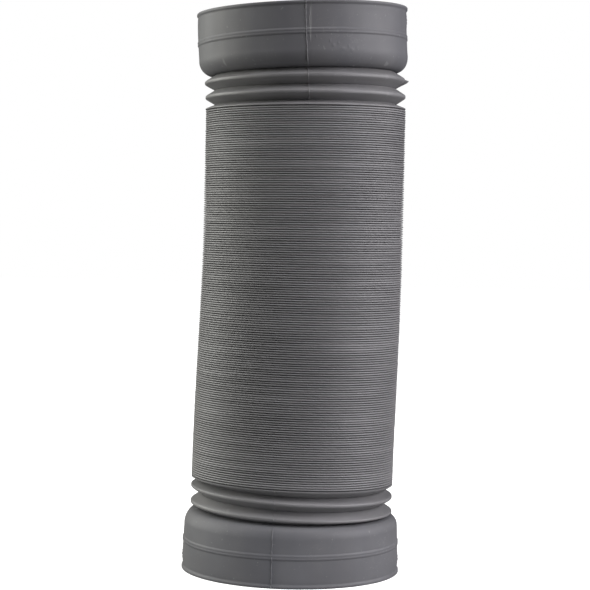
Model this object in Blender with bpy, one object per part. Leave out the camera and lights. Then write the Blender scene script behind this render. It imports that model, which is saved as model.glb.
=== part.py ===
"""A short sewer hose, pushed shut and standing on one end: two push-on cuffs, an open neck of
two folds behind each cuff, and a stack of thin folds between the necks.

The hose is one hollow moulding that moves at its folds. Each zone that moves by itself is an
object here, and each is parented to an empty on the axis where it leaves the zone below.
Metres, +Z up, with the origin at the middle of the lower cuff's rim.
"""

import math

import bmesh
import bpy

# Cuffs: each slips over a rigid drain pipe.
PIPE_DIAMETER = 0.0889
SOCKET_CLEARANCE = 0.0003
CUFF_WALL = 0.0011
CUFF_LENGTH = 0.0266
RIM_LIP_DEPTH = 0.00045
RIM_LIP_HEIGHT = 0.0016
RIM_LEAD_IN = 0.0003
RIM_LEAD_IN_HEIGHT = 0.0008
BEAD_HEIGHT = 0.0129
BEAD_WIDTH = 0.0024
BEAD_CREST_WIDTH = 0.0013
BEAD_DEPTH = 0.00035
SHOULDER_STEPS = 5

# Stack: folds pushed flat against each other, so that only their crests stand apart.
FLOW_DIAMETER = 0.0773
FOLD_DEPTH = 0.00485
CREST_GROOVE_DEPTH = 0.0022
SHUT_PITCH = 0.000963
FOLDS_PER_PACK = 12
PACK_COUNT = 14
PACK_SIDES = 12

# Necks: two folds that stand open between a cuff and the stack, the lower ones pressed closer.
LOWER_NECK_PITCH = 0.0051
UPPER_NECK_PITCH = 0.0066
NECK_ROOT_DEPTH = 0.0026
NECK_WALL = 0.0008
NECK_CREST_WIDTH = 0.0006
NECK_FLARE_HEIGHT = 0.0021
NECK_FLARE_EDGE = 0.0005

# Joints: the folds open about a point on the rim, or slide apart along the hose.
SEAT_GAP = 0.0003
TURNED_SIDES = 40
SHARP_ANGLE = math.radians(35)
BEND_SIDES = ("left", "front", "right", "back")
BEND_PIVOTS = {"left": (-1, 0), "front": (0, -1), "right": (1, 0), "back": (0, 1)}

PLASTIC_GREY = (0.16, 0.16, 0.164, 1.0)
PLASTIC_ROUGHNESS = 0.45

CREST_RADIUS = FLOW_DIAMETER / 2 + FOLD_DEPTH
GROOVE_RADIUS = CREST_RADIUS - CREST_GROOVE_DEPTH
NECK_ROOT_RADIUS = CREST_RADIUS - NECK_ROOT_DEPTH
SOCKET_RADIUS = PIPE_DIAMETER / 2 + SOCKET_CLEARANCE
CUFF_RADIUS = SOCKET_RADIUS + CUFF_WALL
PACK_HEIGHT = FOLDS_PER_PACK * SHUT_PITCH


def arc(centre, radius, start, end, steps):
    """Points (radius, height) of a round stretch, from the start to the end angle in degrees."""
    points = []
    for step in range(steps + 1):
        angle = math.radians(start + (end - start) * step / steps)
        points.append((centre[0] + radius * math.cos(angle), centre[1] + radius * math.sin(angle)))
    return points


def cuff_profile():
    """A cuff with its mouth at height 0 and its shoulder drawn in to the neck above."""
    shoulder_height = CUFF_LENGTH - (CUFF_RADIUS - NECK_ROOT_RADIUS)
    shoulder_centre = (NECK_ROOT_RADIUS, shoulder_height)
    outer = arc(shoulder_centre, CUFF_RADIUS - NECK_ROOT_RADIUS, 90, 0, SHOULDER_STEPS)
    bead = [
        (CUFF_RADIUS, BEAD_HEIGHT + BEAD_WIDTH / 2),
        (CUFF_RADIUS + BEAD_DEPTH, BEAD_HEIGHT + BEAD_CREST_WIDTH / 2),
        (CUFF_RADIUS + BEAD_DEPTH, BEAD_HEIGHT - BEAD_CREST_WIDTH / 2),
        (CUFF_RADIUS, BEAD_HEIGHT - BEAD_WIDTH / 2),
    ]
    rim = [
        (CUFF_RADIUS, RIM_LIP_HEIGHT),
        (CUFF_RADIUS + RIM_LIP_DEPTH, RIM_LIP_HEIGHT / 2),
        (CUFF_RADIUS + RIM_LIP_DEPTH, 0),
        (SOCKET_RADIUS + RIM_LEAD_IN, 0),
        (SOCKET_RADIUS, RIM_LEAD_IN_HEIGHT),
    ]
    inner = arc(shoulder_centre, SOCKET_RADIUS - NECK_ROOT_RADIUS, 0, 90, SHOULDER_STEPS)
    neck = [
        (NECK_ROOT_RADIUS - NECK_WALL, inner[-1][1]),
        (NECK_ROOT_RADIUS - NECK_WALL, CUFF_LENGTH),
    ]
    return outer + bead + rim + inner + neck


def neck_fold_profile(pitch, flared):
    """One open fold from root to root. The fold next to the stack flares out to meet it."""
    height = pitch if flared else pitch - SEAT_GAP
    crest = pitch / 2
    bore = NECK_ROOT_RADIUS - NECK_WALL
    outer = [
        (NECK_ROOT_RADIUS, height),
        (CREST_RADIUS, crest + NECK_CREST_WIDTH / 2),
        (CREST_RADIUS, crest - NECK_CREST_WIDTH / 2),
        (NECK_ROOT_RADIUS, 0),
    ]
    inner = [
        (bore, 0),
        (CREST_RADIUS - NECK_WALL, crest),
        (bore, height),
    ]
    if not flared:
        return outer + inner
    top = height + NECK_FLARE_HEIGHT - SEAT_GAP
    flare = [
        (bore, top),
        (CREST_RADIUS, top),
        (CREST_RADIUS, top - NECK_FLARE_EDGE),
    ]
    return flare + outer + inner


def pack_profile():
    """A pack of shut folds, from its lowest fold's crest to the groove over its highest fold."""
    outer = []
    for fold in reversed(range(FOLDS_PER_PACK)):
        outer.append((GROOVE_RADIUS, (fold + 0.5) * SHUT_PITCH))
        outer.append((CREST_RADIUS, fold * SHUT_PITCH))
    return outer + [(FLOW_DIAMETER / 2, 0), (FLOW_DIAMETER / 2, outer[0][1])]


def turned_upside_down(profile, height):
    return [(radius, height - level) for radius, level in reversed(profile)]


def turned_mesh(name, profile, sides):
    """The closed ring that a closed profile sweeps about Z."""
    shape = bmesh.new()
    points = [shape.verts.new((radius, 0, level)) for radius, level in profile]
    edges = [shape.edges.new((points[i - 1], points[i])) for i in range(len(points))]
    bmesh.ops.spin(
        shape,
        geom=points + edges,
        axis=(0, 0, 1),
        cent=(0, 0, 0),
        steps=sides,
        angle=2 * math.pi,
        use_merge=True,
    )
    bmesh.ops.recalc_face_normals(shape, faces=shape.faces)
    mesh = bpy.data.meshes.new(name)
    shape.to_mesh(mesh)
    shape.free()
    mesh.shade_smooth()
    mesh.set_sharp_from_angle(angle=SHARP_ANGLE)
    return mesh


def plastic(name):
    material = bpy.data.materials.new(name)
    material.use_nodes = True
    shader = material.node_tree.nodes["Principled BSDF"]
    shader.inputs["Base Color"].default_value = PLASTIC_GREY
    shader.inputs["Roughness"].default_value = PLASTIC_ROUGHNESS
    shader.inputs["Metallic"].default_value = 0.0
    return material


def zone(name, profile, sides, base):
    """One zone of the hose, whose lowest face lies at the base height."""
    return {"name": name, "profile": profile, "sides": sides, "base": base}


def zones():
    """Every zone from the floor up."""
    found = [zone("lower_cuff", cuff_profile(), TURNED_SIDES, 0)]
    base = CUFF_LENGTH + SEAT_GAP
    lower_plain = neck_fold_profile(LOWER_NECK_PITCH, False)
    found.append(zone("lower_neck_fold_1", lower_plain, TURNED_SIDES, base))
    base += LOWER_NECK_PITCH
    lower_flared = neck_fold_profile(LOWER_NECK_PITCH, True)
    found.append(zone("lower_neck_fold_2", lower_flared, TURNED_SIDES, base))
    base += LOWER_NECK_PITCH + NECK_FLARE_HEIGHT
    for pack in range(PACK_COUNT):
        found.append(zone(f"fold_pack_{pack + 1:02d}", pack_profile(), PACK_SIDES, base))
        base += PACK_HEIGHT
    flared_height = UPPER_NECK_PITCH + NECK_FLARE_HEIGHT - SEAT_GAP
    upper_flared = turned_upside_down(neck_fold_profile(UPPER_NECK_PITCH, True), flared_height)
    found.append(zone("upper_neck_fold_2", upper_flared, TURNED_SIDES, base))
    base += UPPER_NECK_PITCH + NECK_FLARE_HEIGHT
    plain_height = UPPER_NECK_PITCH - SEAT_GAP
    upper_plain = turned_upside_down(neck_fold_profile(UPPER_NECK_PITCH, False), plain_height)
    found.append(zone("upper_neck_fold_1", upper_plain, TURNED_SIDES, base))
    base += UPPER_NECK_PITCH
    upper_cuff = turned_upside_down(cuff_profile(), CUFF_LENGTH)
    found.append(zone("upper_cuff", upper_cuff, TURNED_SIDES, base))
    return found


def joint_kinds(names):
    """What each zone above the first does on the one below: "stretch", or the side it bends to."""
    kinds = []
    bends = 0
    for below, above in zip(names, names[1:]):
        both_packs = below.startswith("fold_pack") and above.startswith("fold_pack")
        if both_packs and int(below[-2:]) % 2:
            kinds.append("stretch")
            continue
        kinds.append(BEND_SIDES[bends % len(BEND_SIDES)])
        bends += 1
    return kinds


def pivot_of(kind, base):
    """Where the joint's axis runs: on the rim that a bend closes on, or up the middle."""
    side = BEND_PIVOTS.get(kind, (0, 0))
    return (side[0] * CREST_RADIUS, side[1] * CREST_RADIUS, base)


def place(item, mesh, pivot, axis_below):
    """Puts a zone's object on the empty that marks its joint, and returns that empty."""
    axis_here = bpy.data.objects.new(f"axis_of_{item['name']}", None)
    bpy.context.collection.objects.link(axis_here)
    axis_here.empty_display_size = CUFF_LENGTH
    below = (0, 0, 0)
    if axis_below:
        axis_here.parent = axis_below
        below = axis_below["pivot"]
    axis_here["pivot"] = pivot
    axis_here.location = [here - there for here, there in zip(pivot, below)]
    ring = bpy.data.objects.new(item["name"], mesh)
    bpy.context.collection.objects.link(ring)
    ring.data.materials.append(plastic(item["name"]))
    ring.parent = axis_here
    ring.location = (-pivot[0], -pivot[1], item["base"] - pivot[2])
    return axis_here


def build():
    for obj in list(bpy.data.objects):
        bpy.data.objects.remove(obj)
    found = zones()
    kinds = [None] + joint_kinds([item["name"] for item in found])
    axis_below = None
    for item, kind in zip(found, kinds):
        mesh = turned_mesh(item["name"], item["profile"], item["sides"])
        axis_below = place(item, mesh, pivot_of(kind, item["base"]), axis_below)


build()
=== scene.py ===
"""The finish of a short grey sewer hose, pushed shut and standing on one cuff.

The hose's skin is cut into pieces at the roots of its folds. The cuffs and the neck folds ride on
their own bodies, and a short sleeve reaches across each joint beside a cuff or between two neck
folds. Every piece of the stack runs across one joint. Metres, +Z up.
"""

import math

import bpy
import numpy as np
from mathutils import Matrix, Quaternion, Vector


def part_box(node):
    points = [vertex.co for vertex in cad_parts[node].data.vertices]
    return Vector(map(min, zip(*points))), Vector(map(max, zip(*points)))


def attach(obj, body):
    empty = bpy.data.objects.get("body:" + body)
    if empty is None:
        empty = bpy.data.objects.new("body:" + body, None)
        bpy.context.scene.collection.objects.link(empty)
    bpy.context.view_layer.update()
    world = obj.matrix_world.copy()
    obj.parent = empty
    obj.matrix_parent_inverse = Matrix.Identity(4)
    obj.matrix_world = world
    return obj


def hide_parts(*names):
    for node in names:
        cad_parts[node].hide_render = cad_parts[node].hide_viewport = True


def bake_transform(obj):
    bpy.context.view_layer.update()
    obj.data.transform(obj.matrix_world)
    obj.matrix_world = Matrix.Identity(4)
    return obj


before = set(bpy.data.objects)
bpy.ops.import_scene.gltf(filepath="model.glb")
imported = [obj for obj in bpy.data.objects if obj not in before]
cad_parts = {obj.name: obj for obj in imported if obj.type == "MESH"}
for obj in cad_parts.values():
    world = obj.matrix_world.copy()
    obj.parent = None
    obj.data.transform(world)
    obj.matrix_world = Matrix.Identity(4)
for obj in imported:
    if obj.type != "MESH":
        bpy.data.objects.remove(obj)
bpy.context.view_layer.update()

# Driving sizes of the moulding, beside those that the frame gives.
SOCKET_RADIUS = 0.04475
SOCKET_LEAD_IN = 0.0003
SOCKET_LEAD_IN_HEIGHT = 0.0008
SOCKET_ROOF_DEPTH = 0.006
RIM_LIP_DEPTH = 0.00045
BEAD_HEIGHT = 0.0129
BEAD_WIDTH = 0.0024
BEAD_DEPTH = 0.0004
BEAD_FULLNESS = 0.7
BEAD_HOLLOW = 0.42
BEAD_HOLLOW_SHARPNESS = 6
SHOULDER_HEIGHT = 0.0064
SHOULDER_BULGE = 0.9
SHOULDER_RISE = 1.1
NECK_ROOT_DEPTH = 0.0043
NECK_WALL = 0.0008
NECK_FLARE_HEIGHT = 0.0021
NECK_FLARE_CORNER = 0.0006
NECK_LAND = 0.19
NECK_CORNER = 0.07
SLEEVE_LENGTH = 0.0047
SLEEVE_CLEARANCE = 0.00035
SLEEVE_LAP = 0.0001
FOLD_DEPTH = 0.00435
FOLD_ROUNDNESS = 0.11
SLIT_CLOSENESS = 2.4
FOLD_WALL = 0.0005
FOLDS_PER_PACK = 12

# The rolled rim and the groove over it: (how far in from the lip or the wall, height).
RIM_LIP = ((0.00018, 0.0), (0.0, 0.0002), (0.0, 0.0009), (0.0001, 0.00115))
RIM_GROOVE = ((-0.00003, 0.0015), (0.00006, 0.0018), (0.00003, 0.0022), (0.0, 0.0027))

# How the folds are shared between the pieces, and a margin that bends_between takes off each piece's
# end.
FOLDS_BESIDE_BEND = 3.5
FOLDS_BESIDE_NECK = 5.5
BLEND_MARGIN = 0.00008

# Small faults that the moulding and its handling leave. Middles, widths and other distances round
# the hose are in degrees. TURNS and RATE say how fast a fault varies round the hose and up it.
LINE_WANDER = 0.00007
EDGE_WANDER = 0.0001
OPENNESS_WANDER = 0.6
LINE_SEED = 51.0
EDGE_SEED = 0.0
OPENNESS_SEED = 23.0
WANDER_TURNS = 0.9
WANDER_DETAIL = 0.8
WANDER_RANGE = 4.0
FOLD_SEED = 3.7
FOLD_ID_STEP = 7.31
LOWER_PARTING_DEGREES = -99.6
UPPER_PARTING_DEGREES = -88.6
PARTING_RIDGE = 0.00048
PARTING_RIDGE_MIDDLE = 0.2
PARTING_RIDGE_WIDTH = 0.2
PARTING_NICK = 0.00012
PARTING_NICK_MIDDLE = -0.25
PARTING_NICK_WIDTH = 0.18
PARTING_DRIFT = 0.1
PARTING_DRIFT_RATE = 900
PARTING_UNEVEN = 0.75
PARTING_UNEVEN_RATE = 2100
NECK_PARTING_SHARE = 0.7
CUFF_WAVE = 0.00012
CUFF_WAVE_TURNS = 2
CUFF_WAVE_RATE = 60
CUFF_RIPPLE = 0.00008
CUFF_RIPPLE_TURNS = 7
CUFF_RIPPLE_SEED = 3
CUFF_WAVE_START = 0.004
NECK_WAVE = 0.00012
NECK_WAVE_TURNS = 3
NECK_WAVE_RATE = 150
LOWER_TRIM_SIDES = (0, 180)
UPPER_TRIM_SIDES = (0,)
TRIM_MARK_RISE = 0.0004
TRIM_MARK_HEIGHT = 0.0052
TRIM_MARK_REACH = 0.0024
TRIM_MARK_WIDTH = 0.9
TRIM_MARK_SHARE = 0.8
TRIM_MARK_UNEVEN = 0.5
TRIM_MARK_RATE = 4200
DRIP_RISE = 0.00013
DRIP_WIDTH = 0.13
DRIP_MIDDLE = 2.1
DRIP_WANDER = 0.4
DRIP_RATE = 900
DRIP_SEED = 2.0
DRIP_START = 0.0022
DRIP_START_EASE = 0.001
DRIP_END = 0.0175
DRIP_END_EASE = 0.002
TORN_FLASH = 0.0017
TORN_FLASH_MIDDLE = -5.0
TORN_FLASH_WIDTH = 7.0
TORN_FLASH_FINE_DEGREES = (-11, -7, -3, 1)
TORN_FLASH_SPREAD = 1.6
TORN_FLASH_END = 1.05
TORN_FLASH_END_STEEPNESS = 8
TORN_FLASH_SHARE = 0.55
TORN_FLASH_RAGGED = 0.45
TORN_FLASH_TURNS = 95
TORN_FLASH_RATE = 900
TORN_FLASH_SEED = 4.0

# The blisters: degrees from the seam, height, width in degrees and rise of each.
BLISTERS = (
    (12.6, 0.0171, 0.5, 0.00008),
    (14.3, 0.0188, 0.9, 0.00012),
    (17.1, 0.0179, 0.5, 0.00007),
    (19.4, 0.0201, 1.3, 0.00014),
    (22.9, 0.0192, 0.6, 0.00009),
    (24.6, 0.0206, 1.0, 0.00013),
    (27.7, 0.0197, 0.7, 0.00008),
    (5.2, 0.0152, 0.4, 0.00009),
)
BLISTER_REACH = 0.0006

# The waves that noise_of adds up, (rate, weight), and how far apart their seeds set them.
NOISE_WAVES = ((1.0, 0.5), (2.3, 0.3), (5.1, 0.2))
NOISE_SEED_STEP = 1.7

# Meshes. Their angles, in degrees, are closest beside a seam, and close over the blisters.
FOLD_STEPS = 8
FOLD_SIDES = 160
NECK_STEPS = 28
FLARE_SHARES = (0.15, 0.3, 0.45, 0.6, 0.7, 0.8, 0.9)
CUFF_SIDES = 288
RING_STEP = 0.00036
BEAD_STEPS = 16
SHOULDER_STEPS = 16
SOCKET_ROOF_STEPS = 8
SEAM_STEP = 0.07
SEAM_STEPS = (-16, 46)
BLISTER_STEP = 0.25
BLISTER_STEPS = (12, 120)
SHARP_ANGLE = math.radians(50)
MERGE_DISTANCE = 1e-6
ROUNDING = 0.001
# How narrowly the painted highlight hugs each fold's crest.
CREST_HIGHLIGHT_SHARPNESS = 3.0

# The camera, fitted to the photograph's two rims.
CAMERA_DISTANCE = 0.8117
CAMERA_HEIGHT = 0.1578
CAMERA_ASIDE = -0.00069
CAMERA_PITCH = math.radians(1.817)
CAMERA_SHIFT = -0.048
CAMERA_ROLL = math.radians(1.304)
CAMERA_LENS = 113.51
CAMERA_SENSOR = 36

CUFF_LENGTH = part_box("lower_cuff")[1].z
RIM_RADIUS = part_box("lower_cuff")[1].x
CUFF_RADIUS = RIM_RADIUS - RIM_LIP_DEPTH
CREST_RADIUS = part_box("fold_pack_01")[1].x
NECK_ROOT_RADIUS = CREST_RADIUS - NECK_ROOT_DEPTH
STACK_ROOT_RADIUS = CREST_RADIUS - FOLD_DEPTH
SLEEVE_RADIUS = NECK_ROOT_RADIUS - NECK_WALL - SLEEVE_CLEARANCE
HOSE_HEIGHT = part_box("upper_cuff")[1].z
STACK_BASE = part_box("fold_pack_01")[0].z
PITCH = (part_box("fold_pack_02")[0].z - STACK_BASE) / FOLDS_PER_PACK
PACKS = sorted(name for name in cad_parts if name.startswith("fold_pack"))
LAST_CREST = len(PACKS) * FOLDS_PER_PACK
STACK_TOP = STACK_BASE + LAST_CREST * PITCH
LOWER_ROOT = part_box("lower_neck_fold_1")[0].z
LOWER_MIDDLE_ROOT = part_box("lower_neck_fold_2")[0].z
LOWER_FLARE_ROOT = STACK_BASE - NECK_FLARE_HEIGHT
UPPER_FLARE_ROOT = STACK_TOP + NECK_FLARE_HEIGHT
UPPER_MIDDLE_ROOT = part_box("upper_neck_fold_1")[0].z
UPPER_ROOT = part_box("upper_cuff")[0].z

# The hose isn't quite straight at rest. A tilt lifts a ring's right side and a nod lifts its front,
# in degrees. A sink or a bow to +X is in metres, and a spread or a pinch is a share of the radius.
LOWER_NECK_TILT = -2.3
STACK_BASE_TILT = -1.4
STACK_TOP_TILT = 1.3
UPPER_CUFF_TILT = 3.0
STACK_BASE_NOD = 1.0
UPPER_CUFF_NOD = 0.7
LOWEST_FOLD_SINK = 0.0016
UPPER_NECK_SINK = 0.0007
STACK_BOW = 0.0025
LOWER_CUFF_SPREAD = 0.0115
LOWER_HALF_SPREAD = 0.0125
UPPER_CUFF_PINCH = 0.013

# Where those come in and go out, in metres. NOD_FADE is the share of the nod that goes.
TILT_START_DEPTH = 0.006
TILT_END_RISE = 0.01
NOD_FADE = 0.7
NOD_FADE_RISE = 0.08
LOWEST_FOLD_MIDDLE = 0.0023
LOWEST_FOLD_REACH = 0.0035
UPPER_NECK_REACH = 0.02
BOW_RISE = 0.11
BOW_END_DEPTH = 0.005
CUFF_SPREAD_START = 0.004
HALF_SPREAD_START = 0.07
HALF_SPREAD_END = 0.15
PINCH_START_DEPTH = 0.003
PINCH_END_RISE = 0.008


def eased(height, start, end):
    """How far a height has gone from start to end, 0 to 1, with a slow start and finish."""
    share = np.clip((height - start) / (end - start), 0, 1)
    return share * share * (3 - 2 * share)


def tilt_at(height):
    """The lower neck's rings dip at the right, and those higher up come round to rise there."""
    tilt = LOWER_NECK_TILT * eased(height, CUFF_LENGTH - TILT_START_DEPTH, LOWER_MIDDLE_ROOT)
    tilt += (STACK_BASE_TILT - LOWER_NECK_TILT) * eased(height, LOWER_FLARE_ROOT, STACK_BASE)
    climbed = np.clip((height - STACK_BASE) / (STACK_TOP - STACK_BASE), 0, 1)
    tilt += (STACK_TOP_TILT - STACK_BASE_TILT) * climbed
    topped = eased(height, STACK_TOP, UPPER_ROOT + TILT_END_RISE)
    return tilt + (UPPER_CUFF_TILT - STACK_TOP_TILT) * topped


def nod_at(height):
    """The foot of the stack and the upper cuff lift a little at the front."""
    foot = eased(height, LOWER_FLARE_ROOT, STACK_BASE)
    foot = foot * (1 - NOD_FADE * eased(height, STACK_BASE, STACK_BASE + NOD_FADE_RISE))
    cuff = eased(height, STACK_TOP, HOSE_HEIGHT - BEAD_HEIGHT)
    cuff = cuff * (1 - eased(height, HOSE_HEIGHT - BEAD_HEIGHT, HOSE_HEIGHT))
    return STACK_BASE_NOD * foot + UPPER_CUFF_NOD * cuff


def sink_at(height):
    """The lowest fold is pressed down towards the shoulder, and the upper neck sags a little."""
    near_lowest = gauss(height, LOWER_ROOT + LOWEST_FOLD_MIDDLE, LOWEST_FOLD_REACH)
    near_upper = gauss(height, (STACK_TOP + UPPER_ROOT) / 2, UPPER_NECK_REACH)
    return -(LOWEST_FOLD_SINK * near_lowest) - UPPER_NECK_SINK * near_upper


def bow_at(height):
    """The stack bows out to the right of the two cuffs."""
    out = eased(height, CUFF_LENGTH, STACK_BASE + BOW_RISE)
    return STACK_BOW * out * (1 - eased(height, STACK_TOP - BOW_END_DEPTH, HOSE_HEIGHT))


def girth_at(height):
    """The lower half of the hose has spread, and the upper cuff has drawn in."""
    cuff = LOWER_CUFF_SPREAD * (1 - eased(height, CUFF_SPREAD_START, CUFF_LENGTH))
    half = LOWER_HALF_SPREAD * (1 - eased(height, HALF_SPREAD_START, HALF_SPREAD_END))
    pinched = eased(height, UPPER_ROOT - PINCH_START_DEPTH, UPPER_ROOT + PINCH_END_RISE)
    return 1 + cuff + half - UPPER_CUFF_PINCH * pinched


def gauss(values, middle, width):
    """A smooth bump, 1 at the middle and falling off over the width."""
    return np.exp(-(((values - middle) / width) ** 2))


def settled(points):
    """Where the moulding's points lie once the hose has settled a little out of true."""
    height = points[:, 2]
    tilt = np.radians(tilt_at(height))
    nod = np.radians(nod_at(height))
    girth = girth_at(height)
    moved = points.copy()
    moved[:, 0] = points[:, 0] * girth * np.cos(tilt) + bow_at(height)
    moved[:, 1] = points[:, 1] * girth
    moved[:, 2] = height + points[:, 0] * np.sin(tilt) - points[:, 1] * np.sin(nod)
    moved[:, 2] += sink_at(height)
    return moved


def noise_of(values, seed):
    """A smooth wave made of a few unlike sines, from -1 to 1, for lists of angles or heights."""
    total = np.zeros_like(values)
    for rate, weight in NOISE_WAVES:
        total = total + weight * np.sin(values * rate + seed * rate * NOISE_SEED_STEP)
    return total


# ---- Materials ----

CUFF_DARK = (0.112, 0.113, 0.123, 1)
CUFF_LIGHT = (0.139, 0.140, 0.150, 1)
# Painted light: the folds are the cuffs' plastic, painted lighter to make up for the shade in their
# grooves.
FOLD_DARK_BRIGHTENED = (0.165, 0.163, 0.170, 1)
FOLD_LIGHT_BRIGHTENED = (0.207, 0.204, 0.211, 1)
PLASTIC_WARM = (0.185, 0.176, 0.170, 1)
PLASTIC_DEEP = (0.115, 0.115, 0.118, 1)
# A painted highlight along the fold crests, which also stands for the plastic's stress-whitening
# there.
PAINTED_CREST_HIGHLIGHT = (0.268, 0.265, 0.272, 1)
PLASTIC_SCUFF = (0.30, 0.30, 0.30, 1)

# Patterns in the plastic: scale, stretch, detail, and where its noise starts and is full.
CLOUDS = (38.0, (1, 1, 1), 3.0, 0.3, 0.7)
STREAKS = (55.0, (1, 1, 0.12), 3.0, 0.35, 0.75)
RINGS = (70.0, (0.25, 0.25, 9.0), 1.0, 0.3, 0.7)
SCRATCHES = (420.0, (0.5, 0.5, 0.06), 1.0, 0.73, 0.77)
SPECKS = (900.0, (1, 1, 1), 0.0, 0.80, 0.84)
HAIR_PATCHES = (33.0, (1, 1, 1), 3.0, 0.52, 0.66)
# The next pattern makes the painted crest highlight stronger in patches.
CREST_HIGHLIGHT_PATCHES = (14.0, (1, 1, 6.0), 1.0, 0.2, 0.8)

# Hair lines lie where a noise crosses its middle: scale, stretch and detail of it, and their edges.
HAIR_NOISE = (75.0, (1, 1, 1.8), 4.0)
HAIR_START = 0.0045
HAIR_FULL = 0.001

STREAK_SHARE = 0.25
SCRATCH_SHARE = 0.35
SPECK_SHARE = 0.3
HAIR_SHARE = 0.22
# The least strength of the painted crest highlight, between its patches.
CREST_HIGHLIGHT_LEAST = 0.5
ROUGHNESS_SCALE = 90.0
ROUGHNESS_LEAST = 0.42
ROUGHNESS_MOST = 0.56
SKIN_SCALE = 160.0
SKIN_DEPTH = 0.0001
SKIN_STRENGTH = 0.3
SCRATCH_DEPTH = 0.4


class Nodes:
    """Short calls that add nodes to one tree and link them."""

    def __init__(self, tree):
        self.tree = tree

    def add(self, kind, values=None, **settings):
        """A node of the kind, with its settings, and with values or links on its inputs."""
        node = self.tree.nodes.new(kind)
        for setting, value in settings.items():
            setattr(node, setting, value)
        for socket, value in (values or {}).items():
            self.put(node.inputs[socket], value)
        return node

    def put(self, socket, value):
        """Links another node's output to the socket, or sets the socket to a plain value."""
        if isinstance(value, bpy.types.NodeSocket):
            self.tree.links.new(value, socket)
        else:
            socket.default_value = value

    def maths(self, operation, first, second=0.0):
        """The output of a sum on one or two values or links."""
        return self.add("ShaderNodeMath", {0: first, 1: second}, operation=operation).outputs[0]


def moulded_plastic(name, dark, light, wear, ring_shade, gloss):
    """Grey blow-moulded plastic: cloudy colour, painted crest highlight, fine scratches and specks,
    soft skin.
    """
    material = bpy.data.materials.new(name)
    material.use_nodes = True
    nodes = Nodes(material.node_tree)
    shader = material.node_tree.nodes["Principled BSDF"]
    place = nodes.add("ShaderNodeAttribute", attribute_name="moulded_at").outputs["Vector"]

    def noise(scale, stretch=(1, 1, 1), detail=3.0):
        spread = nodes.add("ShaderNodeMapping", {"Vector": place, "Scale": stretch})
        values = {"Vector": spread.outputs[0], "Scale": scale, "Detail": detail}
        return nodes.add("ShaderNodeTexNoise", values).outputs["Fac"]

    def band(field, low, high):
        values = {"Value": field, "From Min": low, "From Max": high}
        return nodes.add("ShaderNodeMapRange", values).outputs["Result"]

    def pattern(scale, stretch, detail, low, high):
        return band(noise(scale, stretch, detail), low, high)

    def mixed(share, first, second):
        node = nodes.add("ShaderNodeMix", {0: share, 6: first, 7: second}, data_type="RGBA")
        return node.outputs[2]

    clouds = pattern(*CLOUDS)
    streaks = pattern(*STREAKS)
    rings = pattern(*RINGS)
    scratches = pattern(*SCRATCHES)
    specks = pattern(*SPECKS)
    contour = nodes.maths("ABSOLUTE", nodes.maths("SUBTRACT", noise(*HAIR_NOISE), 0.5))
    hair_lines = band(contour, HAIR_START, HAIR_FULL)
    hairs = nodes.maths("MULTIPLY", hair_lines, pattern(*HAIR_PATCHES))
    colour = mixed(clouds, dark, light)
    colour = mixed(nodes.maths("MULTIPLY", streaks, STREAK_SHARE), colour, PLASTIC_WARM)
    colour = mixed(nodes.maths("MULTIPLY", rings, ring_shade), colour, PLASTIC_DEEP)
    # Painted highlight: the fold crests are lightened in patches, which also stands for
    # stress-whitening.
    edge = nodes.add("ShaderNodeAttribute", attribute_name="painted_crest_highlight").outputs["Fac"]
    crest_highlight_mix = nodes.maths("MULTIPLY", pattern(*CREST_HIGHLIGHT_PATCHES), 1 - CREST_HIGHLIGHT_LEAST)
    crest_highlight_mix = nodes.maths("MULTIPLY", edge, nodes.maths("ADD", crest_highlight_mix, CREST_HIGHLIGHT_LEAST))
    colour = mixed(crest_highlight_mix, colour, PAINTED_CREST_HIGHLIGHT)
    for marks, share in ((scratches, SCRATCH_SHARE), (specks, SPECK_SHARE), (hairs, HAIR_SHARE)):
        colour = mixed(nodes.maths("MULTIPLY", marks, share * wear), colour, PLASTIC_SCUFF)
    nodes.put(shader.inputs["Base Color"], colour)
    values = {"Value": noise(ROUGHNESS_SCALE), "To Min": ROUGHNESS_LEAST, "To Max": ROUGHNESS_MOST}
    rough = nodes.add("ShaderNodeMapRange", values).outputs["Result"]
    nodes.put(shader.inputs["Roughness"], rough)
    shader.inputs["Specular IOR Level"].default_value = gloss
    furrows = nodes.maths("MULTIPLY", scratches, SCRATCH_DEPTH * wear)
    skin = nodes.maths("ADD", noise(SKIN_SCALE), furrows)
    values = {"Height": skin, "Distance": SKIN_DEPTH, "Strength": SKIN_STRENGTH}
    nodes.put(shader.inputs["Normal"], nodes.add("ShaderNodeBump", values).outputs[0])
    return material


# ---- Meshes ----


def signed_volume(points, faces):
    """Six times the volume that four-sided faces close in, below zero where they face inwards."""
    a, b, c, d = (points[faces[:, corner]] for corner in range(4))
    first = np.einsum("ij,ij->i", a, np.cross(b, c))
    second = np.einsum("ij,ij->i", a, np.cross(c, d))
    return (first + second).sum()


def piece_from_mesh(name, mesh, material):
    """An object of this mesh, settled, that keeps where each point was moulded for its material."""
    points = np.empty(len(mesh.vertices) * 3, np.float32)
    mesh.vertices.foreach_get("co", points)
    points = points.reshape(-1, 3)
    kept = mesh.attributes.new("moulded_at", "FLOAT_VECTOR", "POINT")
    kept.data.foreach_set("vector", points.ravel())
    mesh.vertices.foreach_set("co", settled(points).astype(np.float32).ravel())
    mesh.materials.clear()
    mesh.materials.append(material)
    mesh.update()
    piece = bpy.data.objects.new(name, mesh)
    bpy.context.collection.objects.link(piece)
    return piece


def angles_with_fine_stretches(sides, seams):
    """Angles once round in radians, closer together beside each raised seam."""
    angles = [360 * side / sides for side in range(sides)]
    for seam in seams:
        angles += [seam % 360 + SEAM_STEP * step for step in range(*SEAM_STEPS)]
    angles += [seams[0] % 360 + BLISTER_STEP * step for step in range(*BLISTER_STEPS)]
    return np.radians(np.unique(np.round(np.mod(angles, 360), 4)))


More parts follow.
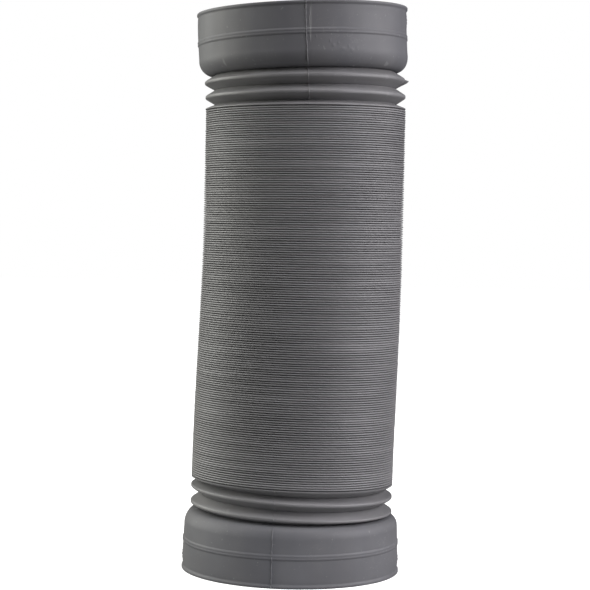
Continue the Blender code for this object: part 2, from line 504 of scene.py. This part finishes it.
def turned_mesh(name, section, angles, relief):
    """The closed skin that a closed section sweeps about Z, raised by relief(angle, height)."""
    radius = np.array([point[0] for point in section])
    height = np.array([point[1] for point in section])
    outer = np.array([point[2] for point in section])
    turn, ring = np.meshgrid(angles, np.arange(len(section)), indexing="ij")
    raised = radius[ring] + outer[ring] * relief(turn, height[ring])
    points = np.stack([raised * np.cos(turn), raised * np.sin(turn), height[ring]], axis=-1)
    points = points.reshape(-1, 3)
    index = np.arange(len(points)).reshape(turn.shape)
    following = np.roll(index, -1, axis=0)
    corners = [index, following, np.roll(following, -1, axis=1), np.roll(index, -1, axis=1)]
    faces = np.stack(corners, axis=-1).reshape(-1, 4)
    if signed_volume(points, faces) < 0:
        faces = faces[:, ::-1]
    mesh = bpy.data.meshes.new(name)
    mesh.from_pydata(points.tolist(), [], faces.tolist())
    mesh.shade_smooth()
    mesh.set_sharp_from_angle(angle=SHARP_ANGLE)
    return mesh


def degrees_from(angle, middle):
    """How far each angle in radians lies from the middle, in degrees, from -180 to 180."""
    return (np.degrees(angle) - middle + 180) % 360 - 180


def parting_line(angle, height, seam, share):
    """The uneven mark where the mould's halves met, in front and behind: a ridge by a nick."""
    drift = PARTING_DRIFT * noise_of(height * PARTING_DRIFT_RATE, seam)
    uneven = PARTING_UNEVEN + PARTING_UNEVEN * noise_of(height * PARTING_UNEVEN_RATE, seam + 1)
    raised = np.zeros_like(angle)
    for middle, side in ((seam, 1), (seam + 180, -1)):
        across = degrees_from(angle, middle) + side * drift
        ridge = gauss(across, PARTING_RIDGE_MIDDLE, PARTING_RIDGE_WIDTH)
        nick = gauss(across, PARTING_NICK_MIDDLE, PARTING_NICK_WIDTH)
        raised = raised + PARTING_RIDGE * uneven * ridge
        raised = raised - PARTING_NICK * nick
    return raised * share


def drip(angle, height, seam):
    """A thin wavy run of plastic that set beside the parting line."""
    path = seam + DRIP_MIDDLE + DRIP_WANDER * noise_of(height * DRIP_RATE, DRIP_SEED)
    along = np.clip((height - DRIP_START) / DRIP_START_EASE, 0, 1)
    along = along * np.clip((DRIP_END - height) / DRIP_END_EASE, 0, 1)
    return DRIP_RISE * along * gauss(degrees_from(angle, path), 0, DRIP_WIDTH)


def blisters(angle, height, seam):
    """A patch of small low bumps at the right of the seam, just over the shoulder."""
    raised = np.zeros_like(angle)
    for across, along, width, rise in BLISTERS:
        bump = gauss(degrees_from(angle, seam + across), 0, width)
        raised = raised + rise * (bump * gauss(height, along, BLISTER_REACH))
    return raised


def cuff_relief(seam, trim_sides, dripped=False):
    """The relief of a cuff whose mouth is at height 0: seams, trim marks and an uneven wall."""

    def relief(angle, height):
        raised = parting_line(angle, height, seam, 1.0)
        turned = angle * CUFF_WAVE_TURNS + height * CUFF_WAVE_RATE
        wave = CUFF_WAVE * noise_of(turned, seam)
        ripple = CUFF_RIPPLE * noise_of(angle * CUFF_RIPPLE_TURNS, CUFF_RIPPLE_SEED)
        raised = raised + (wave + ripple) * np.clip(height / CUFF_WAVE_START, 0, 1)
        if dripped:
            raised = raised + drip(angle, height, seam) + blisters(angle, height, seam)
        for side in trim_sides:
            uneven = TRIM_MARK_UNEVEN * noise_of(height * TRIM_MARK_RATE, side)
            along = gauss(height, TRIM_MARK_HEIGHT, TRIM_MARK_REACH) * (TRIM_MARK_SHARE + uneven)
            across = gauss(degrees_from(angle, side), 0, TRIM_MARK_WIDTH)
            raised = raised + TRIM_MARK_RISE * along * across
        return raised

    return relief


def arc(centre, radius, start, end, steps):
    """Points (radius, height) of a round stretch, from the start to the end angle in degrees."""
    turns = [math.radians(start + (end - start) * step / steps) for step in range(steps + 1)]
    return [(centre[0] + radius * math.cos(t), centre[1] + radius * math.sin(t)) for t in turns]


def cuff_section():
    """(radius, height, outer) round a cuff's wall, with its mouth at height 0."""
    low = BEAD_HEIGHT - BEAD_WIDTH / 2
    high = BEAD_HEIGHT + BEAD_WIDTH / 2
    wall_start = RIM_GROOVE[-1][1] + RING_STEP
    outer = [(RIM_RADIUS - depth, height) for depth, height in RIM_LIP]
    outer += [(CUFF_RADIUS - depth, height) for depth, height in RIM_GROOVE]
    outer += [(CUFF_RADIUS, height) for height in np.arange(wall_start, low, RING_STEP)]
    for step in range(BEAD_STEPS + 1):
        across = step / BEAD_STEPS
        swell = math.sin(math.pi * across)
        swell = swell**BEAD_FULLNESS - BEAD_HOLLOW * swell**BEAD_HOLLOW_SHARPNESS
        outer.append((CUFF_RADIUS + BEAD_DEPTH * swell, low + BEAD_WIDTH * across))
    shoulder_start = CUFF_LENGTH - SHOULDER_HEIGHT
    outer += [(CUFF_RADIUS, height) for height in np.arange(high, shoulder_start, RING_STEP)[1:]]
    width = CUFF_RADIUS - NECK_ROOT_RADIUS
    for step in range(SHOULDER_STEPS + 1):
        turn = math.radians(90 * step / SHOULDER_STEPS)
        radius = NECK_ROOT_RADIUS + width * math.cos(turn) ** SHOULDER_BULGE
        rise = SHOULDER_HEIGHT * math.sin(turn) ** SHOULDER_RISE
        outer.append((radius, shoulder_start + rise))
    roof_centre = (NECK_ROOT_RADIUS, CUFF_LENGTH - SOCKET_ROOF_DEPTH)
    roof_radius = SOCKET_RADIUS - NECK_ROOT_RADIUS
    inner = [(NECK_ROOT_RADIUS - NECK_WALL, CUFF_LENGTH)]
    inner += arc(roof_centre, roof_radius, 90, 0, SOCKET_ROOF_STEPS)
    inner.append((SOCKET_RADIUS, BEAD_HEIGHT))
    inner.append((SOCKET_RADIUS, SOCKET_LEAD_IN_HEIGHT))
    inner.append((SOCKET_RADIUS + SOCKET_LEAD_IN, 0.0))
    return [(r, h, 1.0) for r, h in outer] + [(r, h, 0.0) for r, h in inner]


def upside_down(section, height):
    """The section of a cuff whose mouth is at the height and opens upwards."""
    return [(r, height - h, side) for r, h, side in reversed(section)]


def rounded_climb(climb):
    """Level below 0 and a straight climb above it, with a rounded corner between them."""
    return (climb + math.hypot(climb, NECK_CORNER)) / 2


def fall_from_crest(away):
    """How far a neck fold has fallen from its crest, 0 to 1: a narrow land, then a straight side."""
    level = rounded_climb((away - NECK_LAND) / (1 - NECK_LAND))
    start = rounded_climb(-NECK_LAND / (1 - NECK_LAND))
    return (level - start) / (rounded_climb(1) - start)


def neck_stretch(low, high, steps):
    """(radius, height) from root to crest to root of one open fold, outside."""
    points = []
    for step in range(steps + 1):
        across = step / steps
        radius = CREST_RADIUS - NECK_ROOT_DEPTH * fall_from_crest(abs(2 * across - 1))
        points.append((radius, low + (high - low) * across))
    return points


def flare_stretch(neck_root, stack_root):
    """(radius, height) from the neck's last root over the stack's first crest to its root."""
    crest = stack_root - math.copysign(PITCH / 2, stack_root - neck_root)
    points = []
    for across in FLARE_SHARES:
        radius = CREST_RADIUS - NECK_ROOT_DEPTH * fall_from_crest(1 - across)
        points.append((radius, neck_root + (crest - neck_root) * across))
    points.append((CREST_RADIUS, crest))
    points.append((CREST_RADIUS - NECK_FLARE_CORNER, (crest + 2 * stack_root) / 3))
    return points + [(STACK_ROOT_RADIUS, stack_root)]


def sleeved(outside, below=False, above=False):
    """A fold's outside line with a sleeve inside its neighbours, which fills the gap as it bends."""
    low = outside[0][1]
    high = outside[-1][1]
    if below:
        foot = [(SLEEVE_RADIUS, low - away) for away in (SLEEVE_LENGTH, SLEEVE_LAP)]
        outside = foot + outside
    if above:
        outside = outside + [(SLEEVE_RADIUS, high + away) for away in (SLEEVE_LAP, SLEEVE_LENGTH)]
    return outside


def walled(outer):
    """A closed section (radius, height, outer) from an outside line that runs upwards."""
    inner = [(radius - NECK_WALL, height, 0.0) for radius, height in reversed(outer)]
    return [(radius, height, float(radius > SLEEVE_RADIUS)) for radius, height in outer] + inner


# ---- The stack, by geometry nodes ----

# What the nodes take. Each piece has its own number of folds, first fold and base.
FOLD_INPUTS = (
    ("Folds", "NodeSocketInt", 8),
    ("First Fold", "NodeSocketInt", 1),
    ("Steps", "NodeSocketInt", FOLD_STEPS),
    ("Sides", "NodeSocketInt", FOLD_SIDES),
    ("Base", "NodeSocketFloat", STACK_BASE),
    ("Pitch", "NodeSocketFloat", PITCH),
    ("Crest Radius", "NodeSocketFloat", CREST_RADIUS),
    ("Fold Depth", "NodeSocketFloat", FOLD_DEPTH),
    ("Roundness", "NodeSocketFloat", FOLD_ROUNDNESS),
    ("Slit Closeness", "NodeSocketFloat", SLIT_CLOSENESS),
    ("Wall", "NodeSocketFloat", FOLD_WALL),
    ("Line Wander", "NodeSocketFloat", LINE_WANDER),
    ("Edge Wander", "NodeSocketFloat", EDGE_WANDER),
    ("Seed", "NodeSocketFloat", FOLD_SEED),
)


def folded_skin_tree(material):
    """Geometry nodes for a stretch of shut folds: a grid, wrapped round into a closed skin."""
    tree = bpy.data.node_groups.new("folded_skin", "GeometryNodeTree")
    tree.interface.new_socket("Mesh", in_out="OUTPUT", socket_type="NodeSocketGeometry")
    for label, kind, value in FOLD_INPUTS:
        tree.interface.new_socket(label, in_out="INPUT", socket_type=kind).default_value = value
    nodes = Nodes(tree)
    given = nodes.add("NodeGroupInput").outputs
    maths = nodes.maths

    def chosen(test, if_true, if_false):
        values = {"Switch": test, "False": if_false, "True": if_true}
        return nodes.add("GeometryNodeSwitch", values, input_type="FLOAT").outputs[0]

    outer_rings = maths("ADD", maths("MULTIPLY", given["Folds"], given["Steps"]), 1)
    inner_rings = maths("ADD", maths("MULTIPLY", given["Folds"], 2), 1)
    rings = maths("ADD", maths("ADD", outer_rings, inner_rings), 1)
    columns = maths("ADD", given["Sides"], 1)
    grid = nodes.add("GeometryNodeMeshGrid", {"Vertices X": columns, "Vertices Y": rings})
    index = nodes.add("GeometryNodeInputIndex").outputs[0]
    column = maths("FLOOR", maths("DIVIDE", maths("ADD", index, 0.5), rings))
    row = maths("SUBTRACT", index, maths("MULTIPLY", column, rings))
    is_last = maths("GREATER_THAN", row, maths("SUBTRACT", rings, 1.5))
    row = chosen(is_last, 0.0, row)
    angle = maths("MULTIPLY", maths("DIVIDE", column, given["Sides"]), 2 * math.pi)
    is_outer = maths("LESS_THAN", row, maths("SUBTRACT", outer_rings, 0.5))

    climbed = maths("DIVIDE", row, given["Steps"])
    fold = maths("FLOOR", maths("ADD", climbed, ROUNDING))
    step = maths("SUBTRACT", climbed, fold)
    from_crest = maths("ABSOLUTE", maths("SUBTRACT", maths("MULTIPLY", step, 2), 1))
    inward = maths("MAXIMUM", maths("SUBTRACT", 1, from_crest), 0.0)
    half = maths("MULTIPLY", maths("POWER", inward, given["Slit Closeness"]), 0.5)
    phase = chosen(maths("GREATER_THAN", step, 0.5), maths("SUBTRACT", 1, half), half)
    outer_climb = maths("ADD", fold, phase)
    wave = maths("MAXIMUM", maths("SINE", maths("MULTIPLY", phase, math.pi)), 0.0)

    fold_id = maths("MULTIPLY", maths("ADD", fold, given["First Fold"]), FOLD_ID_STEP)

    def wander(seed):
        turned = {
            "X": maths("MULTIPLY", maths("COSINE", angle), WANDER_TURNS),
            "Y": maths("MULTIPLY", maths("SINE", angle), WANDER_TURNS),
            "Z": maths("ADD", maths("ADD", fold_id, given["Seed"]), seed),
        }
        place = nodes.add("ShaderNodeCombineXYZ", turned).outputs[0]
        values = {"Vector": place, "Scale": 1.0, "Detail": WANDER_DETAIL}
        field = nodes.add("ShaderNodeTexNoise", values).outputs[0]
        return maths("MULTIPLY", maths("SUBTRACT", field, 0.5), WANDER_RANGE)

    openness = maths("ADD", maths("MULTIPLY", wander(OPENNESS_SEED), OPENNESS_WANDER), 1.0)
    lobe = maths("POWER", wave, maths("MULTIPLY", given["Roundness"], openness))
    root_drop = maths("MULTIPLY", maths("SUBTRACT", 1.0, lobe), given["Fold Depth"])
    outer_radius = maths("SUBTRACT", given["Crest Radius"], root_drop)

    inner_row = maths("SUBTRACT", row, outer_rings)
    inner_climb = maths("SUBTRACT", given["Folds"], maths("DIVIDE", inner_row, 2))
    is_hollow = maths("GREATER_THAN", maths("FLOORED_MODULO", inner_row, 2), 0.5)
    hollow = maths("SUBTRACT", given["Crest Radius"], given["Wall"])
    drop = maths("ADD", given["Fold Depth"], given["Wall"])
    bore = maths("SUBTRACT", given["Crest Radius"], drop)
    inner_radius = chosen(is_hollow, hollow, bore)

    edge = maths("MULTIPLY", maths("MULTIPLY", wander(EDGE_SEED), lobe), given["Edge Wander"])
    line = maths("MULTIPLY", maths("MULTIPLY", wander(LINE_SEED), wave), given["Line Wander"])
    radius = chosen(is_outer, maths("ADD", outer_radius, edge), inner_radius)
    climb = chosen(is_outer, outer_climb, inner_climb)
    height = maths("ADD", given["Base"], maths("MULTIPLY", climb, given["Pitch"]))
    height = maths("ADD", height, chosen(is_outer, line, 0.0))
    ends = {
        "X": maths("MULTIPLY", radius, maths("COSINE", angle)),
        "Y": maths("MULTIPLY", radius, maths("SINE", angle)),
        "Z": height,
    }
    place = nodes.add("ShaderNodeCombineXYZ", ends).outputs[0]
    values = {"Geometry": grid.outputs["Mesh"], "Position": place}
    wrapped = nodes.add("GeometryNodeSetPosition", values).outputs[0]
    # Painted highlight: a share that is full on each fold's crest, which the material lightens.
    crest_highlight_share = chosen(is_outer, maths("POWER", wave, CREST_HIGHLIGHT_SHARPNESS), 0.0)
    values = {"Geometry": wrapped, "Name": "painted_crest_highlight", "Value": crest_highlight_share}
    wrapped = nodes.add("GeometryNodeStoreNamedAttribute", values, data_type="FLOAT").outputs[0]
    values = {"Geometry": wrapped, "Distance": MERGE_DISTANCE}
    closed = nodes.add("GeometryNodeMergeByDistance", values).outputs[0]
    smooth = nodes.add("GeometryNodeSetShadeSmooth", {"Geometry": closed}).outputs[0]
    real = nodes.add("GeometryNodeRealizeInstances", {"Geometry": smooth}).outputs[0]
    finish = {"Geometry": real, "Material": material}
    painted = nodes.add("GeometryNodeSetMaterial", finish).outputs[0]
    tree.links.new(painted, nodes.add("NodeGroupOutput").inputs[0])
    return tree


def folded_mesh(name, tree, first_root, last_root):
    """The plain mesh of the folds between two roots, which are counted in pitches."""
    holder = bpy.data.objects.new(name, bpy.data.meshes.new(name))
    bpy.context.collection.objects.link(holder)
    modifier = holder.modifiers.new("folds", "NODES")
    modifier.node_group = tree
    sizes = {
        "Folds": int(round(last_root - first_root)),
        "First Fold": int(round(first_root + 0.5)),
        "Base": STACK_BASE + first_root * PITCH,
    }
    for socket in tree.interface.items_tree:
        if socket.in_out == "INPUT":
            modifier[socket.identifier] = sizes.get(socket.name, socket.default_value)
    graph = bpy.context.evaluated_depsgraph_get()
    mesh = bpy.data.meshes.new_from_object(holder.evaluated_get(graph))
    mesh.name = name
    bpy.data.objects.remove(holder)
    return mesh


# ---- The hose ----


def ring_centre(height):
    """The middle of the settled ring at a moulded height, and the way that the ring faces."""
    tilt = math.radians(tilt_at(height))
    nod = math.radians(nod_at(height))
    centre = np.array([bow_at(height), 0.0, height + sink_at(height)])
    normal = np.array([-math.sin(tilt), math.sin(nod), 1.0])
    return centre, normal / np.linalg.norm(normal)


def bends_between(piece, below, above, low, high):
    """Works out the settled low and high rings and bakes the piece's place; below and above are not
    used.
    """
    start, up = ring_centre(low)
    end, _ = ring_centre(high)
    end = start + up * (np.dot(end - start, up) - BLEND_MARGIN)
    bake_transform(piece)


def add_rider(node, section, angles, relief, material):
    """The turned skin of a node, which rides on that node's body and stands in for it."""
    mesh = turned_mesh(f"{node}_skin", section, angles, relief)
    piece = piece_from_mesh(f"{node}_skin", mesh, material)
    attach(piece, node)
    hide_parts(node)


def make_cuff(node, section, seam, trim_sides, relief, material):
    """One cuff, with close angles beside its seams and its trim marks."""
    angles = angles_with_fine_stretches(CUFF_SIDES, (seam, seam + 180) + trim_sides)
    add_rider(node, section, angles, relief, material)


def make_cuffs(material):
    """The lower cuff, and the upper one with its mouth up, which has the drip and the blisters."""
    seam = LOWER_PARTING_DEGREES
    relief = cuff_relief(seam, LOWER_TRIM_SIDES)
    make_cuff("lower_cuff", cuff_section(), seam, LOWER_TRIM_SIDES, relief, material)

    seam = UPPER_PARTING_DEGREES
    from_mouth = cuff_relief(seam, UPPER_TRIM_SIDES, dripped=True)

    def from_floor(angle, height):
        return from_mouth(angle, HOSE_HEIGHT - height)

    section = upside_down(cuff_section(), HOSE_HEIGHT)
    make_cuff("upper_cuff", section, seam, UPPER_TRIM_SIDES, from_floor, material)


def torn_flash(angle, height):
    """A ragged web of thin plastic that the mould left under a fold's crest, at the right."""
    crest = (UPPER_MIDDLE_ROOT + UPPER_ROOT) / 2
    across = (height - UPPER_MIDDLE_ROOT) / (crest - UPPER_MIDDLE_ROOT)
    web = np.clip(across * TORN_FLASH_SPREAD, 0, 1)
    web = web * np.clip((TORN_FLASH_END - across) * TORN_FLASH_END_STEEPNESS, 0, 1)
    turned = angle * TORN_FLASH_TURNS + height * TORN_FLASH_RATE
    ragged = TORN_FLASH_SHARE + TORN_FLASH_RAGGED * noise_of(turned, TORN_FLASH_SEED)
    beside = gauss(degrees_from(angle, TORN_FLASH_MIDDLE), 0, TORN_FLASH_WIDTH)
    return TORN_FLASH * web * ragged * beside


def neck_relief(seam, torn):
    """The relief of a neck fold: seams, an uneven wall and, where it is torn, a ragged web."""

    def relief(angle, height):
        turned = angle * NECK_WAVE_TURNS + height * NECK_WAVE_RATE
        wall = NECK_WAVE * noise_of(turned, seam)
        if torn:
            wall = wall + torn_flash(angle, height)
        return wall + parting_line(angle, height, seam, NECK_PARTING_SHARE)

    return relief


def make_necks(material):
    """Two open folds behind each cuff. The second one flares out to meet the stack."""
    stack_low_root = STACK_BASE + PITCH / 2
    stack_high_root = STACK_TOP - PITCH / 2
    lower_2 = neck_stretch(LOWER_MIDDLE_ROOT, LOWER_FLARE_ROOT, NECK_STEPS)
    lower_2 += flare_stretch(LOWER_FLARE_ROOT, stack_low_root)
    upper_2 = flare_stretch(UPPER_FLARE_ROOT, stack_high_root)[::-1]
    upper_2 += neck_stretch(UPPER_FLARE_ROOT, UPPER_MIDDLE_ROOT, NECK_STEPS)
    lower_1 = neck_stretch(CUFF_LENGTH, LOWER_MIDDLE_ROOT, NECK_STEPS)
    upper_1 = neck_stretch(UPPER_MIDDLE_ROOT, UPPER_ROOT, NECK_STEPS)
    plans = (
        ("lower_neck_fold_1", sleeved(lower_1, below=True), LOWER_PARTING_DEGREES),
        ("lower_neck_fold_2", sleeved(lower_2, below=True), LOWER_PARTING_DEGREES),
        ("upper_neck_fold_2", upper_2, UPPER_PARTING_DEGREES),
        ("upper_neck_fold_1", sleeved(upper_1, below=True, above=True), UPPER_PARTING_DEGREES),
    )
    for node, outside, seam in plans:
        torn = node == "upper_neck_fold_1"
        seams = (seam, seam + 180) + (TORN_FLASH_FINE_DEGREES if torn else ())
        angles = angles_with_fine_stretches(FOLD_SIDES, seams)
        relief = neck_relief(seam, torn)
        add_rider(node, walled(outside), angles, relief, material)


def make_stack(material):
    """Pieces that each run across one joint, from root to root, up the whole stack."""
    tree = folded_skin_tree(material)
    bodies = ["lower_neck_fold_2"] + PACKS + ["upper_neck_fold_2"]
    first_root = 0.5
    for joint, (lower, upper) in enumerate(zip(bodies, bodies[1:])):
        crest = joint * FOLDS_PER_PACK
        is_bend = joint % 2 == 0
        if is_bend:
            last_root = crest + FOLDS_BESIDE_BEND if joint else FOLDS_BESIDE_NECK
        else:
            last_root = crest + FOLDS_PER_PACK - FOLDS_BESIDE_BEND
        if joint == len(PACKS) - 1:
            last_root = LAST_CREST - FOLDS_BESIDE_NECK
        if joint == len(PACKS):
            last_root = LAST_CREST - 0.5
        kind = "bending" if is_bend else "stretching"
        name = f"{kind}_folds_{joint // 2 + 1}"
        mesh = folded_mesh(name, tree, first_root, last_root)
        piece = piece_from_mesh(name, mesh, material)
        low = STACK_BASE + first_root * PITCH
        high = STACK_BASE + last_root * PITCH
        bends_between(piece, lower, upper, low, high)
        if not is_bend:
            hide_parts(lower, upper)
        first_root = last_root


# ---- The studio ----

AIR_COLOUR = (0.96, 0.98, 1.0, 1)
AIR_STRENGTH = 0.015
WHITE = (1, 1, 1, 1)
FLOOR_REACH = 3.0
FLOOR_ROUGHNESS = 0.9
FLOOR_SEEN = (0.8, 0.8, 0.8, 1)
FLOOR_BOUNCE = (0.22, 0.22, 0.22, 1)
GLOW_START = 0.05
GLOW_FULL = 0.45
GLOW_LEAST = 0.6


def panel(name, azimuth, distance, height, size, power, colour, aim=HOSE_HEIGHT / 2, spread=180):
    """A soft light panel that faces the hose. Azimuth 0 is the camera's side and 90 is +X."""
    light = bpy.data.lights.new(name, "AREA")
    light.shape = "RECTANGLE"
    light.size, light.size_y = size
    light.energy = power
    light.color = colour
    light.spread = math.radians(spread)
    lamp = bpy.data.objects.new(name, light)
    lamp.visible_camera = False
    bpy.context.collection.objects.link(lamp)
    turn = math.radians(azimuth)
    lamp.location = (distance * math.sin(turn), -distance * math.cos(turn), height)
    facing = Vector((0, 0, aim)) - lamp.location
    lamp.rotation_euler = facing.to_track_quat("-Z", "Y").to_euler()


def make_panels():
    """A large panel at each side, one above and two faint ones in front."""
    panel(
        "left_panel",
        azimuth=-101,
        distance=0.9,
        height=0.40,
        size=(1.1, 0.8),
        power=12.5,
        colour=(0.995, 1.0, 0.925),
    )
    panel(
        "right_panel",
        azimuth=78,
        distance=0.8,
        height=0.42,
        size=(0.9, 0.6),
        power=10.0,
        colour=(0.99, 0.97, 1.0),
    )
    panel(
        "top_panel",
        azimuth=0,
        distance=0.36,
        height=1.1,
        size=(0.7, 0.6),
        power=6.6,
        colour=(0.99, 0.975, 1.0),
    )
    panel(
        "front_panel",
        azimuth=10,
        distance=1.2,
        height=0.95,
        size=(0.5, 0.3),
        power=0.15,
        colour=(0.97, 0.96, 1.0),
    )
    panel(
        "low_panel",
        azimuth=2,
        distance=0.5,
        height=0.012,
        size=(0.3, 0.01),
        power=0.011,
        colour=(0.95, 0.96, 1.0),
        aim=0.012,
        spread=12,
    )


def make_air():
    """Dim light from all round, and plain white where the camera looks past the hose."""
    world = bpy.data.worlds.new("studio_air")
    bpy.context.scene.world = world
    world.use_nodes = True
    nodes = Nodes(world.node_tree)
    seen = nodes.add("ShaderNodeLightPath").outputs
    through = nodes.maths("MAXIMUM", seen["Is Camera Ray"], seen["Is Transmission Ray"])
    soft = world.node_tree.nodes["Background"]
    soft.inputs["Color"].default_value = AIR_COLOUR
    soft.inputs["Strength"].default_value = AIR_STRENGTH
    white = nodes.add("ShaderNodeBackground", {"Color": WHITE, "Strength": 1.0})
    both = nodes.add("ShaderNodeMixShader", {0: through, 1: soft.outputs[0], 2: white.outputs[0]})
    nodes.put(world.node_tree.nodes["World Output"].inputs["Surface"], both.outputs[0])


def make_floor():
    """A pale floor that shows white to the camera, apart from the hose's shadow."""
    mesh = bpy.data.meshes.new("floor")
    signs = ((-1, -1), (1, -1), (1, 1), (-1, 1))
    corners = [(x * FLOOR_REACH, y * FLOOR_REACH, 0) for x, y in signs]
    mesh.from_pydata(corners, [], [(0, 1, 2, 3)])
    floor = bpy.data.objects.new("floor", mesh)
    bpy.context.collection.objects.link(floor)
    material = bpy.data.materials.new("pale_floor")
    material.use_nodes = True
    shader = material.node_tree.nodes["Principled BSDF"]
    shader.inputs["Roughness"].default_value = FLOOR_ROUGHNESS
    nodes = Nodes(material.node_tree)
    seen = nodes.add("ShaderNodeLightPath").outputs["Is Camera Ray"]
    spot = nodes.add("ShaderNodeTexCoord").outputs["Object"]
    away = nodes.add("ShaderNodeVectorMath", {0: spot}, operation="LENGTH").outputs["Value"]
    values = {"Value": away, "From Min": GLOW_START, "From Max": GLOW_FULL, "To Min": GLOW_LEAST}
    glow = nodes.add("ShaderNodeMapRange", values).outputs["Result"]
    values = {0: seen, 6: FLOOR_BOUNCE, 7: FLOOR_SEEN}
    both = nodes.add("ShaderNodeMix", values, data_type="RGBA").outputs[2]
    nodes.put(shader.inputs["Base Color"], both)
    shader.inputs["Emission Color"].default_value = WHITE
    nodes.put(shader.inputs["Emission Strength"], nodes.maths("MULTIPLY", seen, glow))
    mesh.materials.append(material)


def make_camera():
    """The camera in front of the hose, which looks a little down."""
    camera = bpy.data.cameras.new("camera")
    camera.lens = CAMERA_LENS
    camera.sensor_width = CAMERA_SENSOR
    camera.shift_y = CAMERA_SHIFT
    holder = bpy.data.objects.new("camera", camera)
    bpy.context.collection.objects.link(holder)
    holder.location = (CAMERA_ASIDE, -CAMERA_DISTANCE, CAMERA_HEIGHT)
    aim = Vector((0, math.cos(CAMERA_PITCH), -math.sin(CAMERA_PITCH)))
    turn = aim.to_track_quat("-Z", "Y")
    holder.rotation_euler = (turn @ Quaternion((0, 0, 1), CAMERA_ROLL)).to_euler()
    bpy.context.scene.camera = holder


cuff_plastic = moulded_plastic(
    "cuff_plastic", CUFF_DARK, CUFF_LIGHT, wear=1.0, ring_shade=0.0, gloss=0.15
)
# Its colours are painted lighter than the cuffs' to make up for the shade in the grooves.
fold_plastic = moulded_plastic(
    "fold_plastic", FOLD_DARK_BRIGHTENED, FOLD_LIGHT_BRIGHTENED, wear=0.5, ring_shade=0.5, gloss=0.42
)
make_cuffs(cuff_plastic)
make_necks(fold_plastic)
make_stack(fold_plastic)
make_panels()
make_air()
make_floor()
make_camera()
bpy.context.scene.view_settings.view_transform = "Standard"
